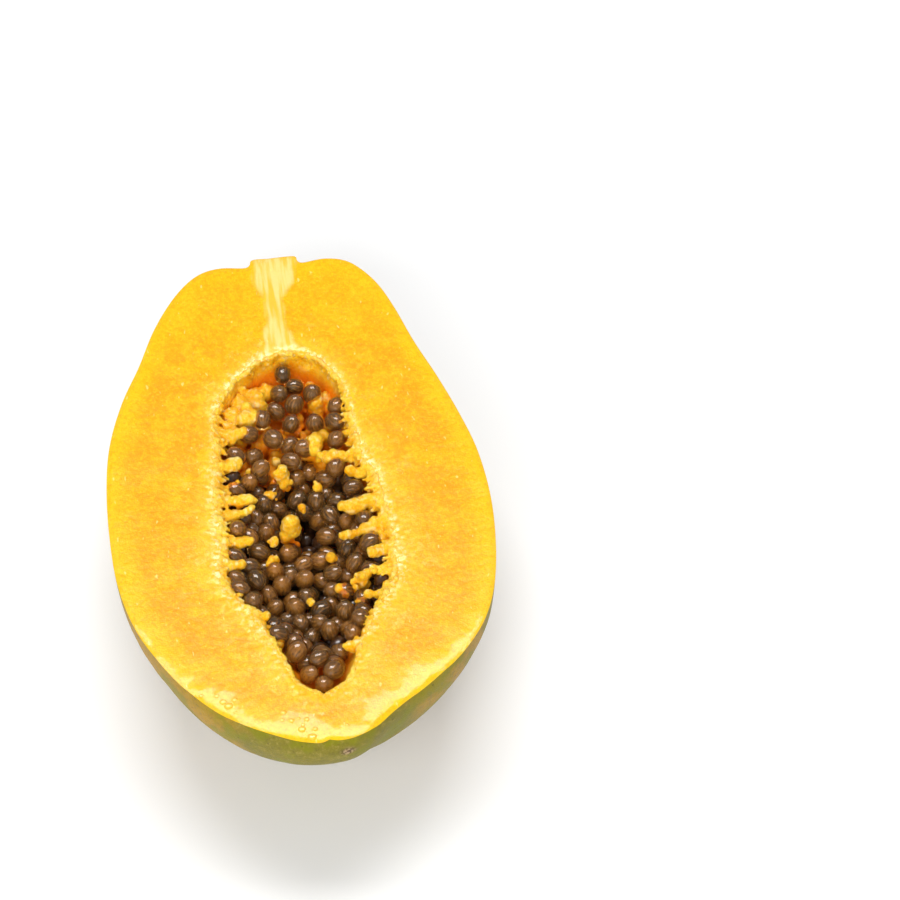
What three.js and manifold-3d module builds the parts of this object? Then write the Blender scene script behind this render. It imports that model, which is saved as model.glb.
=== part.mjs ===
// Half of a papaya, cut lengthwise through its seed cavity and lying on its rounded back with
// the cut face level and up. Millimetres, +Z up, +Y towards the stem end, z = 0 where it rests.
// The flesh, skin, stem stub and pulp strands grew as one piece and are one solid. The seeds
// are a second solid: a heap of seeds grown on and into each other, lying in the cavity.
import * as THREE from "three";
import { mergeVertices } from "three/addons/utils/BufferGeometryUtils.js";
import Module from "manifold-3d";

const wasm = await Module();
wasm.setup();

// Driving dimensions
const FACE_HEIGHT = 63.2; // cut face above the surface that the fruit rests on
const LENGTH_MIDDLE = -1; // the middle of the fruit's length, along the outline's own scale
const LOBE_DEPTH = 0.014; // share of the radius that the five shallow lobes rise and fall
const LOBE_TURN = Math.PI / 2; // puts the hollow between two lobes at the bottom
const LOBE_TWIST = 0.004; // radians per millimetre that the lobes wind round the long axis
const DEPTH_GROWTH = 0.0009; // per millimetre: the fruit is a little deeper towards the stem
const BULGE = { start: -66, full: -106, reach: 4.4, fall: 6 }; // blossom end, below the cut face
const BODY_SIDES = 50; // faces round the whole fruit, before the cut
const BODY_STEPS = 1.6; // faces between two rows of the outline
const CAVITY_SIDES = 40;
const CAVITY_STEPS = 1.5;
const CAVITY_DEPTH = 1.06; // depth of the cavity as a share of its half-width
const RIDGE_DEPTH = 0.05; // the cavity wall's five ridges, where the seeds grow
const RIDGE_TURN = 0.4;
const RAGGED = 0.55; // how far the torn pulp of the wall rises and falls, at this half-width:
const RAGGED_WIDTH = 26;
// The waves that the torn surface is made of: along the cavity, round it, and their start.
const RAGGED_WAVES = [
  [0.83, 2.1, 0],
  [1.57, -3.7, 1.3],
];
const GAP = 0.35; // clearance between the seeds and the flesh
const MESH_SLACK = 0.1; // added where facets of two pieces may differ
const BEYOND = 300; // longer than the fruit, for the blocks that cut it

// The fruit's outline on the cut face, from the stem stub over the shoulders to the blossom
// end. Each row is how far along it is, then how far it reaches to the left and to the right.
const OUTLINE = [
  [106, 0, 0],
  [106.2, 4.4, 8.2],
  [105.5, 6.2, 10.2],
  [103.6, 6.8, 10.6],
  [102.5, 9, 12.6],
  [103.4, 17.4, 20.2],
  [101.7, 24.6, 27.4],
  [96.6, 30.8, 33],
  [88, 37.2, 38.4],
  [76, 43.6, 42.9],
  [60, 49.9, 47.6],
  [44, 56.9, 53.3],
  [26, 62.2, 58.9],
  [8, 64.5, 63.2],
  [-13, 65, 65],
  [-34, 63.7, 63.9],
  [-52, 59.6, 60.7],
  [-66, 53.3, 55],
  [-78, 46, 45.7],
  [-88, 37, 33.6],
  [-96, 27.3, 22.4],
  [-102, 16.4, 15.4],
  [-105.3, 6.5, 9],
  [-106, 2.6, 3.4],
  [-105.2, 0, 0],
];

// The seed cavity's outline on the cut face, in the same three columns.
const CAVITY = [
  [60.4, 0, 0],
  [59, 5.4, 7],
  [54.4, 11.6, 12.6],
  [47, 18.6, 18],
  [38, 24, 20.8],
  [26, 25.4, 21.3],
  [14, 26, 22],
  [3, 27, 26],
  [-12, 27.6, 27.8],
  [-26, 27.9, 29.1],
  [-37, 28.1, 29.3],
  [-44, 24.6, 28.2],
  [-52, 19.6, 22.6],
  [-62, 14.3, 16],
  [-73, 10.4, 12.2],
  [-81, 7.8, 9],
  [-85.4, 4.4, 4.6],
  [-86.8, 0, 0],
];

// Where the seeds lie, seen from above: they leave the stem end of the cavity bare.
const SEEDED = [
  [51, 0, 0],
  [46, 3, 7],
  [40, 6, 16],
  [33, 14, 21],
  [24, 25, 22],
  [3, 27, 26],
  [-12, 28, 28],
  [-37, 28, 29],
  [-44, 24.6, 28],
  [-62, 14.3, 16],
  [-81, 7.8, 9],
  [-84, 0, 0],
];

const FLESH = { color: 0xfec42f, roughness: 0.38 };
const SEED_COAT = { color: 0x3a2614, roughness: 0.2 };

// Seeds
const SEED_LONG = 3.5; // half-length of a seed in its jelly
const SEED_ROUND = 3.1; // its half-width
const SEED_SPACING = 5.6; // least distance between two seeds, which then sink into each other
const SEED_LINK = 5.7; // two seeds this near are grown together
const SEED_TRIES = 9000;
const SEED_START = 20; // of the random numbers
const SEED_FIELD = { y: -84, length: 135, x: -28, width: 58 }; // where seeds are tried
const SEED_SUNK = 1.1; // how far above the core the lowest seed centres are
const SEED_LOW = 1.65; // seeds lower than this above the core are hidden by the others
const SEED_PLAIN = 1.08; // a plain seed is this much larger, to hold as much as a round one
const HEAP_TOP = -SEED_LONG; // the highest seed centres: no seed stands above the cut face
const HEAP_THICK = 4; // how far the highest seeds lie above the core
const WALL_CLEAR = 3; // seed centres keep this far from the wall; what sinks in is cut off

// The core: the inside of the heap, hollowed from above like a bowl
const BOWL = { y: -17, width: 25.5, length: 64, depth: 17.5, rim: -6.6 };
const CORE_SETBACK = 1; // from the wall, besides the clearance
const CORE_END = { y: 12, reach: 32, drop: 24 }; // its rounded end towards the stem
const NO_CORE = -99; // its top where there is none

// Strands of pulp that carry the seeds, each from the wall inwards: where the root stands along
// the cavity, how deep below the cut face, then how far the tip lies in, along and up, and the
// radius. A negative reach is from the left wall.
const STRANDS = [
  [28.5, 3.6, 9.5, -1, 1.2, 2],
  [13, 3, 8, 1.5, 0.4, 1.8],
  [0.5, 3.2, 12.5, -3, 0.9, 1.9],
  [-9.5, 3, 11.5, 3, 0.8, 1.6],
  [-18.5, 3.4, 10.5, -1, 0.8, 1.7],
  [-28, 3, 6.5, -1.5, 0.5, 1.8],
  [13.5, 2.9, -13, 0.5, 0.3, 1.9],
  [5, 4, -6.5, 1.5, 1.3, 1.6],
  [-5, 3, -13.5, -4.5, 0.4, 2.2],
  [-14.5, 3.2, -15, -8, 0.9, 1.7],
  [-27.5, 2.9, -7, -2.5, 0.5, 2],
  [-35, 2.9, -7.5, -3, 0.4, 1.8],
  [-47, 3, -7.5, 0, 0.5, 1.7],
  [-51, 2.6, 4.5, -1.5, 0.3, 1.7],
  [-68, 2.8, -4.5, 0.5, 0.3, 1.6],
];
const STRAND_SIDES = 5;
const STRAND_RINGS = 4;
const STRAND_ROOT = 4.5; // how far a strand is sunk into the wall
const STRAND_SAG = 1.1;
const STRAND_KNOTS = { size: 0.22, pace: 2.4 }; // where it is thicker and thinner
const STRAND_TAPER = { root: 1.35, thinner: 0.45, tip: 0.8 }; // shares of its radius

// Lumps of pulp on the bare wall at the stem end and undersized seeds that stayed pale, each
// on a stalk from the wall below: across, along, depth below the cut face, radius.
const LUMPS = [
  [-14.5, 35, 6.4, 3.8],
  [-10, 43, 9, 3.4],
  [10.5, 43, 9.5, 2.8],
  [7.5, 21, 4.4, 3],
  [-4.6, 9, 4.4, 2.6],
  [-4, -13, 5.4, 3.3],
  [17.5, -39, 4.8, 2.4],
];
const LUMP_STALK = { foot: 0.65, buried: 2, least: 3 }; // its radius's share, its depths
// A lump from its stalk up: how high above its middle and how thick, as shares of its radius,
// and how far it leans over across and along.
const LUMP_RINGS = [
  [-1.5, 0.5, 0, 0],
  [-0.5, 0.95, 0, 0.2],
  [0.3, 0.9, 0.3, 0],
  [0.75, 0.55, 0.2, 0],
];
const ROUND_ENDS = { root: 0.4, tip: 0.6, narrow: 0.5 }; // how a knobbly tube's ends close

// Pseudo-random numbers from 0 to 1, the same ones on every run.
function randomFrom(state) {
  return () => {
    state = (Math.imul(state, 1664525) + 1013904223) >>> 0;
    return state / 4294967296;
  };
}

// A column of a table at a fractional row, on a Catmull-Rom curve through the rows.
function rowValue(rows, column, at) {
  const i = Math.min(Math.floor(at), rows.length - 2);
  const f = at - i;
  const value = (k) => rows[Math.min(Math.max(k, 0), rows.length - 1)][column];
  const [a, b, c, d] = [value(i - 1), value(i), value(i + 1), value(i + 2)];
  return b + 0.5 * f * (c - a + f * (2 * a - 5 * b + 4 * c - d + f * (3 * (b - c) + d - a)));
}

// The half-width and the middle of an outline at a fractional row.
function spanAt(rows, at) {
  const left = Math.max(rowValue(rows, 1, at), 0);
  const right = Math.max(rowValue(rows, 2, at), 0);
  return { y: rowValue(rows, 0, at), half: (left + right) / 2, middle: (right - left) / 2 };
}

// The same, found by the place along the fruit. Straight lines between rows are enough here.
function spanNear(rows, y) {
  for (let i = 0; i + 1 < rows.length; i++) {
    const [high, low] = [rows[i], rows[i + 1]];
    if (y <= high[0] && y > low[0]) {
      const f = (high[0] - y) / (high[0] - low[0]);
      const left = high[1] + f * (low[1] - high[1]);
      const right = high[2] + f * (low[2] - high[2]);
      return { half: (left + right) / 2, middle: (right - left) / 2 };
    }
  }
  return { half: 0, middle: 0 };
}

// A closed three.js geometry as a solid, without the empty triangles at a lathe's poles.
function solidFrom(geometry) {
  const bare = new THREE.BufferGeometry();
  bare.setAttribute("position", geometry.getAttribute("position"));
  if (geometry.index) bare.setIndex(geometry.index);
  const merged = mergeVertices(bare, 1e-4);
  const index = merged.index.array;
  const triVerts = [];
  for (let i = 0; i < index.length; i += 3) {
    const [a, b, c] = [index[i], index[i + 1], index[i + 2]];
    if (a !== b && b !== c && c !== a) triVerts.push(a, b, c);
  }
  return new wasm.Manifold(
    new wasm.Mesh({
      numProp: 3,
      vertProperties: new Float32Array(merged.attributes.position.array),
      triVerts: new Uint32Array(triVerts),
    }),
  );
}

// A block wider than the fruit, between two places along it and two heights.
function block(nearY, farY, low, high) {
  const shape = new THREE.BoxGeometry(BEYOND, farY - nearY, high - low);
  return solidFrom(shape.translate(0, (nearY + farY) / 2, (low + high) / 2));
}

function keepLargest(solid) {
  return solid.decompose().sort((a, b) => b.volume() - a.volume())[0];
}

// A body turned about the long axis from an outline's rows. place gives where a point stands,
// from its radius, its angle below the cut face and its place along the body.
function turned(rows, sides, steps, place, inset = 0) {
  const last = rows.length - 1;
  const count = Math.round(last * steps);
  const spans = Array.from({ length: count + 1 }, (_, k) => spanAt(rows, (k / count) * last));
  spans.reverse();
  const profile = spans.map((s) => new THREE.Vector2(Math.max(s.half - inset, 0), s.y));
  profile[0].x = 0;
  profile[count].x = 0;
  const lathe = new THREE.LatheGeometry(profile, sides);
  const position = lathe.attributes.position;
  for (let i = 0; i < position.count; i++) {
    const { middle, y } = spans[i % (count + 1)];
    const [x, z] = [position.getX(i), position.getZ(i)];
    const point = place(Math.hypot(x, z), Math.atan2(-z, x), y);
    position.setXYZ(i, middle + point.x, point.y, point.z);
  }
  return solidFrom(lathe);
}

// The outside: five shallow lobes, which fade out at the cut face so that its outline stays as
// given, and a blossom end that bulges a little further below the cut face than on it.
function outside(radius, angle, y) {
  const turn = 5 * angle + LOBE_TURN + y * LOBE_TWIST;
  const lobes = 1 + LOBE_DEPTH * Math.sin(angle) * Math.cos(turn);
  const z = -radius * lobes * Math.sin(angle) * (1 + DEPTH_GROWTH * y);
  const nearEnd = Math.min(Math.max((y - BULGE.start) / (BULGE.full - BULGE.start), 0), 1);
  const bulge = BULGE.reach * nearEnd * (1 - Math.exp(Math.min(z, 0) / BULGE.fall));
  return { x: radius * lobes * Math.cos(angle), y: y - bulge, z };
}

// The cavity: its five ridges and its torn surface.
function cavityWall(radius, angle, y) {
  const ridges = RIDGE_DEPTH * Math.sin(angle) * Math.cos(5 * angle + RIDGE_TURN);
  const waves = RAGGED_WAVES.map(([along, round, start]) => Math.sin(y * along + round * angle + start));
  const torn = (waves[0] + waves[1]) / 2;
  const rough = radius * (1 + ridges + (RAGGED * torn) / RAGGED_WIDTH);
  return { x: rough * Math.cos(angle), y, z: -rough * Math.sin(angle) * CAVITY_DEPTH };
}

// How deep the cavity wall is below a point of the cut face, less a clearance.
function wallDepth(x, y, clear) {
  const { half, middle } = spanNear(CAVITY, y);
  const [reach, across] = [half - clear, x - middle];
  return reach > Math.abs(across) ? CAVITY_DEPTH * Math.sqrt(reach * reach - across * across) : -1;
}

// A strand's points from inside the wall to its tip, each with a radius.
function strandPoints([along, deep, across, forward, rise, radius]) {
  const { half, middle } = spanNear(CAVITY, along);
  const side = Math.sign(across);
  const wall = side > 0 ? middle - half : middle + half;
  const points = [];
  for (let k = 0; k <= STRAND_RINGS; k++) {
    const f = k / STRAND_RINGS;
    const x = wall - side * STRAND_ROOT + f * (across + side * STRAND_ROOT);
    const sag = -STRAND_SAG * Math.sin(Math.PI * f);
    const knot = 1 + STRAND_KNOTS.size * Math.sin(k * STRAND_KNOTS.pace + along);
    const taper = f < 1 ? STRAND_TAPER.root - STRAND_TAPER.thinner * f : STRAND_TAPER.tip;
    points.push({ x, y: along + forward * f, z: -deep + rise * f + sag, r: radius * taper * knot });
  }
  return points;
}

// A knobbly tube with rounded ends through points that each have a radius, fatter all round by
// a clearance where one is given.
function knobblyTube(points, clear = 0) {
  const path = new THREE.CatmullRomCurve3(points.map((p) => new THREE.Vector3(p.x, p.y, p.z)));
  const last = points.length - 1;
  const levels = last + 2;
  const tube = new THREE.CylinderGeometry(1, 1, 1, STRAND_SIDES, levels);
  const position = tube.attributes.position;
  const { normals, binormals } = path.computeFrenetFrames(last);
  for (let i = 0; i < position.count; i++) {
    const level = Math.round((0.5 - position.getY(i)) * levels);
    const k = Math.min(Math.max(level - 1, 0), last);
    const tip = level === levels;
    const radius = points[k].r * (tip ? ROUND_ENDS.narrow : 1) + clear;
    const centre = path.getPoint(k / last);
    if (tip) centre.addScaledVector(path.getTangent(1), points[last].r * ROUND_ENDS.tip + clear);
    if (level === 0) centre.addScaledVector(path.getTangent(0), -ROUND_ENDS.root);
    centre.addScaledVector(normals[k], position.getX(i) * radius);
    centre.addScaledVector(binormals[k], position.getZ(i) * radius);
    position.setXYZ(i, centre.x, centre.y, centre.z);
  }
  return solidFrom(tube);
}

// A lump and the stalk that it stands on, as points of a tube that swells at the top.
function lumpPoints([x, y, deep, radius]) {
  const floor = Math.max(wallDepth(x, y, 0), deep + LUMP_STALK.least) + LUMP_STALK.buried;
  const rings = LUMP_RINGS.map(([height, thick, across, along]) => {
    return { x: x + across, y: y + along, z: height * radius - deep, r: thick * radius };
  });
  return [{ x, y, z: -floor, r: LUMP_STALK.foot * radius }, ...rings];
}

const strands = [...STRANDS.map(strandPoints), ...LUMPS.map(lumpPoints)];

// The core's top under a point, below the cut face.
function coreTop(x, y) {
  const { width, length, depth, rim } = BOWL;
  const hollow = 1 - (x / width) ** 2 - ((y - BOWL.y) / length) ** 2;
  const bowl = Math.min(rim, hollow > 0 ? -depth * Math.sqrt(hollow) : 0);
  const past = Math.max(y - CORE_END.y, 0) / CORE_END.reach;
  return past < 1 ? Math.min(bowl, -CORE_END.drop * (1 - Math.sqrt(1 - past * past))) : NO_CORE;
}

// Drops seeds one by one at random places. Each comes to lie as low as it can: on the core or
// on the wall, clear of the strands, or grown into the seeds that are there.
function placeSeeds() {
  const random = randomFrom(SEED_START);
  const seeds = [];
  const taken = strands.flat().map(({ x, y, z, r }) => ({ x, y, z, reach: r + SEED_LONG }));
  for (let n = 0; n < SEED_TRIES; n++) {
    const y = SEED_FIELD.y + SEED_FIELD.length * random();
    const x = SEED_FIELD.x + SEED_FIELD.width * random();
    const turn = [random(), random(), random()];
    const { half, middle } = spanNear(SEEDED, y);
    const wall = -wallDepth(x, y, WALL_CLEAR);
    if (Math.abs(x - middle) > half || wall > HEAP_TOP) continue;
    const floor = Math.max(coreTop(x, y) + SEED_SUNK, wall);
    const top = Math.min(HEAP_TOP, floor + HEAP_THICK);
    let z = floor;
    for (let settled = false; !settled; ) {
      settled = true;
      for (const t of taken) {
        const flat = t.reach ** 2 - (x - t.x) ** 2 - (y - t.y) ** 2;
        if (flat > 0 && Math.abs(z - t.z) < Math.sqrt(flat) - 1e-9) {
          z = t.z + Math.sqrt(flat);
          settled = false;
        }
      }
    }
    if (z > top) continue;
    const low = z < coreTop(x, y) + SEED_LOW;
    if (!low && !seeds.some((s) => Math.hypot(x - s.x, y - s.y, z - s.z) < SEED_LINK)) continue;
    seeds.push({ x, y, z, turn, low });
    taken.push({ x, y, z, reach: SEED_SPACING });
  }
  return seeds;
}

// A uniformly random turn from three random numbers.
function randomTurn([a, b, c]) {
  const [s, t] = [Math.sqrt(1 - a), Math.sqrt(a)];
  const [u, v] = [2 * Math.PI * b, 2 * Math.PI * c];
  return new THREE.Quaternion(s * Math.sin(u), s * Math.cos(u), t * Math.sin(v), t * Math.cos(v));
}

// A seed as a stretched ball, plainer where the seeds above it hide it.
function seedSolid({ x, y, z, turn, low }) {
  const plain = new THREE.IcosahedronGeometry(SEED_PLAIN, 0);
  const shape = low ? plain : new THREE.SphereGeometry(1, 8, 4);
  shape.scale(SEED_ROUND, SEED_LONG, SEED_ROUND);
  shape.applyQuaternion(randomTurn(turn));
  return solidFrom(shape.translate(x, y, z));
}

// The part of the heap under the seeds that show.
function heapCore() {
  const lining = turned(CAVITY, 26, 1, cavityWall, GAP + CORE_SETBACK);
  const hollow = new THREE.SphereGeometry(1, 20, 12);
  hollow.scale(BOWL.width, BOWL.length, BOWL.depth).translate(0, BOWL.y, 0);
  const end = new THREE.CylinderGeometry(1, 1, BEYOND, 24).rotateZ(Math.PI / 2);
  end.scale(1, CORE_END.reach, CORE_END.drop).translate(0, CORE_END.y, -CORE_END.drop);
  const straight = block(-BEYOND, CORE_END.y, -BEYOND, 0);
  return lining
    .intersect(straight.add(solidFrom(end)))
    .subtract(block(-BEYOND, BEYOND, BOWL.rim, BEYOND))
    .subtract(solidFrom(hollow));
}

function papayaHalf() {
  const whole = turned(OUTLINE, BODY_SIDES, BODY_STEPS, outside);
  const cavity = turned(CAVITY, CAVITY_SIDES, CAVITY_STEPS, cavityWall);
  const above = block(-BEYOND, BEYOND, 0, BEYOND);
  const below = block(-BEYOND, BEYOND, -BEYOND, -FACE_HEIGHT);
  const pulp = wasm.Manifold.union(strands.map((points) => knobblyTube(points))).subtract(above);
  return keepLargest(whole.subtract(above).subtract(below).subtract(cavity).add(pulp));
}

function seedHeap() {
  const clear = GAP + MESH_SLACK;
  const inside = turned(CAVITY, CAVITY_SIDES, CAVITY_STEPS, cavityWall, clear);
  const channels = strands.map((points) => knobblyTube(points, clear));
  const grown = wasm.Manifold.union([heapCore(), ...placeSeeds().map(seedSolid)]);
  return keepLargest(grown.intersect(inside).subtract(wasm.Manifold.union(channels)));
}

function meshOf(solid, name, look) {
  const { numProp, vertProperties, triVerts } = solid.getMesh();
  const geometry = new THREE.BufferGeometry();
  const points = new Float32Array((vertProperties.length / numProp) * 3);
  for (let i = 0; i < points.length / 3; i++) {
    points.set(vertProperties.subarray(i * numProp, i * numProp + 3), i * 3);
  }
  geometry.setAttribute("position", new THREE.BufferAttribute(points, 3));
  geometry.setIndex(new THREE.BufferAttribute(triVerts, 1));
  const flat = geometry.toNonIndexed();
  flat.computeVertexNormals();
  const material = new THREE.MeshStandardMaterial({ ...look, metalness: 0, flatShading: true });
  const mesh = new THREE.Mesh(flat, material);
  mesh.name = name;
  mesh.position.set(0, -LENGTH_MIDDLE, FACE_HEIGHT);
  return mesh;
}

const papaya = new THREE.Group();
papaya.add(meshOf(papayaHalf(), "papaya_half", FLESH));
papaya.add(meshOf(seedHeap(), "seeds", SEED_COAT));

export default papaya;
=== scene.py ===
"""The looks of half a papaya, cut lengthwise and lying on its rounded back, cut face up.

Shapes are worked out in millimetres round the middle of the cut face, with x across the fruit,
y along it towards the stem end and z up from the face, and are moved into the frame at the end.
"""

import math

import bpy
import numpy as np
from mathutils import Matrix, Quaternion, Vector


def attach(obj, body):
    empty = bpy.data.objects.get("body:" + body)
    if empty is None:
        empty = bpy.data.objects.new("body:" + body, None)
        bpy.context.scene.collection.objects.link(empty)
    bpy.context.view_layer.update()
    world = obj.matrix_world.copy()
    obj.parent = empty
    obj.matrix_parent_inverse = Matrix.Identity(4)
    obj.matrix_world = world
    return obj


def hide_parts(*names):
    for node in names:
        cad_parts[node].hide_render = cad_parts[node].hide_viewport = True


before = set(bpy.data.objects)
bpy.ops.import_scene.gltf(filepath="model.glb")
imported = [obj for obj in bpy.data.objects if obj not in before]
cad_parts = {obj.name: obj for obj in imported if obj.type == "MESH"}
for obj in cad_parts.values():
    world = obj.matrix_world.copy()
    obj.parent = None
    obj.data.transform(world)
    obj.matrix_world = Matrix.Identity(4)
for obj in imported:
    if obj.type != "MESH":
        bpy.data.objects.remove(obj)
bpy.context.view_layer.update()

MM = 0.001
FACE_HEIGHT = 63.2
LENGTH_MIDDLE = -1

# The outside: five shallow lobes that wind round the long axis, a body that is a little deeper
# towards the stem, and a blossom end that bulges below the face.
LOBES = 5
LOBE_DEPTH = 0.014
LOBE_TURN = math.pi / 2
LOBE_TWIST = 0.004
DEPTH_GROWTH = 0.0009
BULGE_START, BULGE_FULL, BULGE_REACH, BULGE_FALL = -66, -106, 4.4, 6

# The cavity: its depth as a share of its half-width, and the ridges where the seeds grow
CAVITY_DEPTH = 1.06
RIDGES = 5
RIDGE_DEPTH = 0.05
RIDGE_TURN = 0.4

# The fruit's outline on the cut face, from the stem stub over the shoulders to the blossom end:
# how far along, then how far it reaches to the left and to the right.
OUTLINE = np.array([
    [106, 0, 0], [106.2, 4.4, 8.2], [105.5, 6.2, 10.2], [103.6, 6.8, 10.6], [102.5, 9, 12.6],
    [103.4, 17.4, 20.2], [101.7, 24.6, 27.4], [96.6, 30.8, 33], [88, 37.2, 38.4],
    [76, 43.6, 42.9], [60, 49.9, 47.6], [44, 56.9, 53.3], [26, 62.2, 58.9], [8, 64.5, 63.2],
    [-13, 65, 65], [-34, 63.7, 63.9], [-52, 59.6, 60.7], [-66, 53.3, 55], [-78, 46, 45.7],
    [-88, 37, 33.6], [-96, 27.3, 22.4], [-102, 16.4, 15.4], [-105.3, 6.5, 9], [-106, 2.6, 3.4],
    [-105.2, 0, 0],
])

# The seed cavity's outline, in the same columns.
CAVITY = np.array([
    [60.4, 0, 0], [59, 5.4, 7], [54.4, 11.6, 12.6], [47, 18.6, 18], [38, 24, 20.8],
    [26, 25.4, 21.3], [14, 26, 22], [3, 27, 26], [-12, 27.6, 27.8], [-26, 27.9, 29.1],
    [-37, 28.1, 29.3], [-44, 24.6, 28.2], [-52, 19.6, 22.6], [-62, 14.3, 16],
    [-73, 10.4, 12.2], [-81, 7.8, 9], [-84.7, 3.9, 5.3], [-86.5, 1.4, 2.2], [-87.5, 0, 0],
])

# Where the seeds lie, seen from above, in the same columns.
SEEDED = np.array([
    [51, 0, 0], [46, 3, 7], [40, 6, 16], [33, 14, 21], [24, 25, 22], [3, 27, 26],
    [-12, 28, 28], [-37, 28, 29], [-44, 24.6, 28], [-62, 14.3, 16], [-81, 7.8, 9], [-84, 0, 0],
])

# Seeds: the half-length that spaces them, then the half-length and half-width as shown
SEED_LONG = 3.5
SHOWN_LONG = 4
SHOWN_ROUND = 3.25
SEED_SPACING = 5.6
SEED_LINK = 5.7
SEED_START = 20
SEED_TRIES = 9000
SEED_FIELD = {"y": -84, "length": 135, "x": -28, "width": 58}
SEED_SUNK = 1.1
HEAP_TOP = -SEED_LONG
HEAP_THICK = 4
WALL_CLEAR = 3

# The bowl-shaped top of the heap, and its rounded end towards the stem
BOWL_Y, BOWL_WIDTH, BOWL_LENGTH, BOWL_DEPTH, BOWL_RIM = -17, 25.5, 64, 17.5, -6.6
CORE_END_Y, CORE_END_REACH, CORE_END_DROP = 12, 32, 24
NO_CORE = -99

# Seeds further down, which show only through the gaps
BURIED_START = 77
BURIED_TRIES = 5000
BURIED_FIELD = {"y": -82, "length": 130, "x": -27, "width": 56}
BURIED_LOWEST = -24
BURIED_UNDER, BURIED_DROP = 1.5, 7
BURIED_TOP = -5
BURIED_APART = 5.2
BURIED_END = 14

# Strands of pulp from the wall inwards: along, depth, reach in, along and up, radius.
STRANDS = [
    [28.5, 3.6, 9.5, -1, 1.2, 2], [13, 3, 8, 1.5, 0.4, 1.8], [0.5, 3.2, 12.5, -3, 0.9, 1.9],
    [-9.5, 3, 11.5, 3, 0.8, 1.6], [-18.5, 3.4, 10.5, -1, 0.8, 1.7],
    [-28, 3, 6.5, -1.5, 0.5, 1.8], [13.5, 2.9, -13, 0.5, 0.3, 1.9],
    [5, 4, -6.5, 1.5, 1.3, 1.6], [-5, 3, -13.5, -4.5, 0.4, 2.2],
    [-14.5, 3.2, -15, -8, 0.9, 1.7], [-27.5, 2.9, -7, -2.5, 0.5, 2],
    [-35, 2.9, -7.5, -3, 0.4, 1.8], [-47, 3, -7.5, 0, 0.5, 1.7],
    [-51, 2.6, 4.5, -1.5, 0.3, 1.7], [-68, 2.8, -4.5, 0.5, 0.3, 1.6],
]
STRAND_RINGS = 4
STRAND_ROOT = 4.5
STRAND_SAG = 1.1
KNOT_SIZE, KNOT_PACE = 0.22, 2.4
TAPER_ROOT, TAPER_THINNER, TAPER_TIP = 1.35, 0.45, 0.8

# Lumps of pulp: across, along, depth below the cut face, radius.
LUMPS = [
    [-14.5, 35, 6.4, 3.8], [-10, 43, 9, 3.4], [10.5, 43, 9.5, 2.8], [7.5, 21, 4.4, 3],
    [-4.6, 9, 4.4, 2.6], [-4, -13, 5.4, 3.3], [17.5, -39, 4.8, 2.4],
]
STALK_FOOT, STALK_BURIED, STALK_LEAST = 0.65, 2, 3
# A lump from its stalk up: height above its middle and thickness, as shares of its radius, and
# how far it leans over, across and along.
LUMP_RINGS = [
    [-1.5, 0.5, 0, 0], [-0.5, 0.95, 0, 0.2], [0.3, 0.9, 0.3, 0], [0.75, 0.55, 0.2, 0],
]

# Fineness of the fruit's surface: rows along it, sides round skin and wall, rings on the face,
# how much closer the rings lie at the cavity and the sides at the rim, and the sharp angle.
OUTLINE_SAMPLES = 4000
ROWS = 420
SKIN_SIDES = 72
WALL_SIDES = 60
FACE_RINGS = 36
RINGS_CLOSER = 1.55
RIM_FINER = 0.7
SHARP_FROM = 55

# AWAY stands for the skin's distance from the cavity, and the wall's from the rim. What is
# further from the cavity than NEAR_ENOUGH is skin.
AWAY = 40
NEAR_ENOUGH = 39

# The pale core between stem and cavity: along, then its left and its right edge.
CORE = np.array([
    [56, -9.5, 8.8], [60, -7.9, 7.2], [65, -5.9, 6], [77, -3.4, 3], [86.5, -3.5, 4],
    [93.6, -6.4, 8.4], [105, -6.4, 10.7], [108, -6.4, 10.7],
])
CORE_WAVE, CORE_WAVE_SWING = 0.9, 3.2
CORE_FADE = 1.8
CORE_START, CORE_START_FADE = 54, 5

# Torn pulp on the wall: swing, height, how much less there is in the bare stem end, start.
TEARS = [
    [5.2, 0.85, 0, 1], [2.9, 0.7, 0.5, 5], [1.2, 0.38, 0.7, 9],
]
TEARS_UP = 0.8
BARE_START, BARE_FADE = 40, 10
CALM_START, CALM_FADE, CALM_SHARE = -58, 12, 0.88

# Shallow dips in the cut face that catch the light: across, along, reach and depth.
DIPS = [
    [23, -102, 8, 1.3], [35, -94, 8, 1.6], [46, -77, 7, 0.25], [-9, -105, 6.5, 0.9],
    [-37, -92, 7, 0.6],
]
# Depth and reach of the face's sinking, at the cavity's edge and at the rim.
EDGE_SINK, EDGE_REACH = 1.1, 1.4
RIM_DROPS = [
    [0.25, 0.5], [0.13, 3],
]
# An uneven shore along the rim of the blossom end, and ripples on it: height, swing, start.
SHORE_START, SHORE_FULL, SHORE_WIDE, SHORE_DROP = -50, -72, 6.5, 0.2
SHORE_PATCHES = [1.8, 10, 61]
RIPPLES = [
    [0.16, 4.2, 63], [0.05, 1.5, 67],
]
RIPPLE_REACH = 9
# The faintly uneven cut, grainier near the cavity, and dents in the skin, in the same columns.
FACE_WAVES = [0.12, 11, 21]
FACE_GRAIN = [0.3, 1.2, 23]
GRAIN_REACH = 3.5
SKIN_DENTS = [
    [0.25, 16, 31], [0.08, 5, 33],
]
WALL_TOP = 0.35
CREST_WAVE = [0.35, 1.6, 15]

# The cut stub of the stem and the scar at the blossom end: where they begin, middle and radius
STUB_START, STUB_FADE, STUB_X, STUB_RADIUS = 102.6, 1.2, 2, 13
SCAR_X, SCAR_Z, SCAR_LONG, SCAR_RADIUS, SCAR_END = 5.6, -4.5, 1.5, 1.4, -100

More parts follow.
